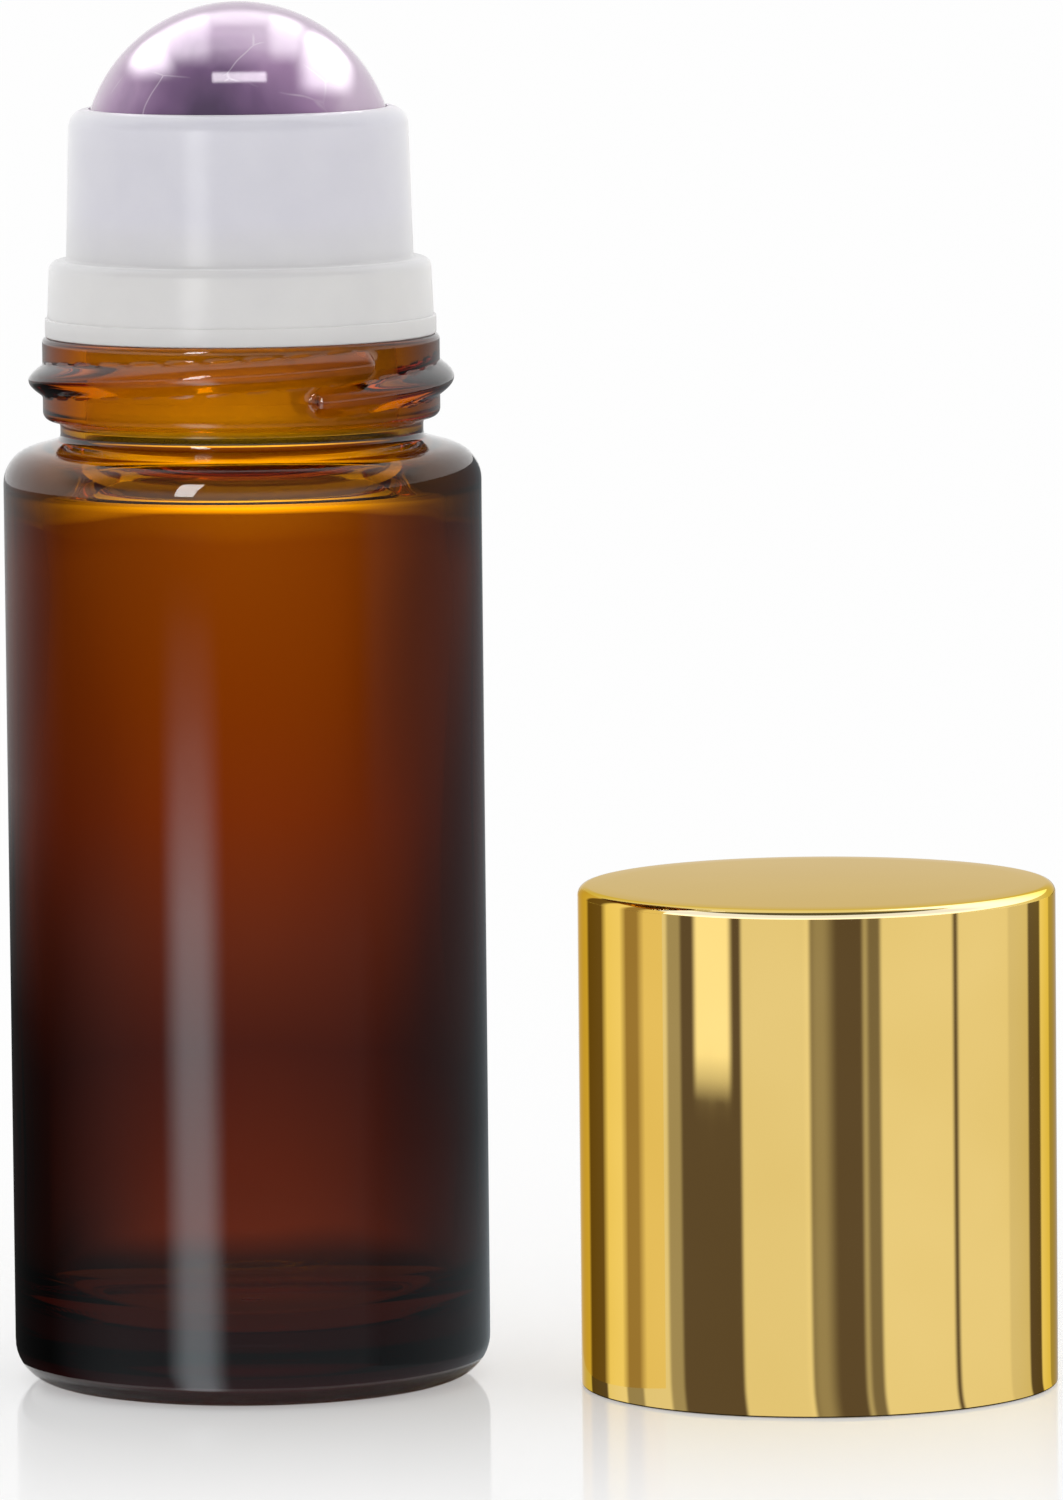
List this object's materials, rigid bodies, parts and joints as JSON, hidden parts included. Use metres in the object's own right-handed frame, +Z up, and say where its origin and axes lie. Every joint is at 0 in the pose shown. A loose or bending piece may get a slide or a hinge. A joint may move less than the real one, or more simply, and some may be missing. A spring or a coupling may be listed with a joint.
{
  "type": "roll-on bottle",
  "caption": "Amber glass roll-on bottle with a stone roller ball in a translucent housing on its threaded neck, and a gold screw cap standing beside it.",
  "frame": {"origin": "middle of the bottle's base, on the table", "axes": "+Z up along the bottle's axis, +X towards the cap that stands beside it, +Y away from the picture's camera"},
  "size_m": [0.0852, 0.0462, 0.1128],
  "materials": {
    "amber_glass": "clear amber, fire polished",
    "natural_plastic": "natural polypropylene, translucent, satin gloss",
    "lilac_stone": "polished, translucent, with veils and colour zones",
    "gold_aluminium": "gold anodised, mirror bright",
    "white_plastic": "white polypropylene, fine matte",
    "liner_foam": "closed-cell polyethylene foam, fine cells"
  },
  "bodies": {
    "bottle": {"glass_bottle": "amber_glass", "ball_housing": "natural_plastic"},
    "ball": {"roller_ball": "lilac_stone"},
    "liner": {"cap_liner": "liner_foam"},
    "cap": {"cap_shell": "gold_aluminium", "cap_insert": "white_plastic"}
  },
  "joints": [
    {"name": "ball_roll", "type": "hinge", "parent": "bottle", "child": "ball", "pos_m": [0, 0, 0.1001], "axis": [1, 0, 0], "continuous": true},
    {"name": "cap_lift", "type": "slide", "parent": "bottle", "child": "liner", "axis": [0, 0, 1], "range_m": [0, 0.12]},
    {"name": "cap_turn", "type": "hinge", "parent": "liner", "child": "cap", "pos_m": [0.04625, -0.0073, 0], "axis": [0, 0, 1], "continuous": true}
  ]
}
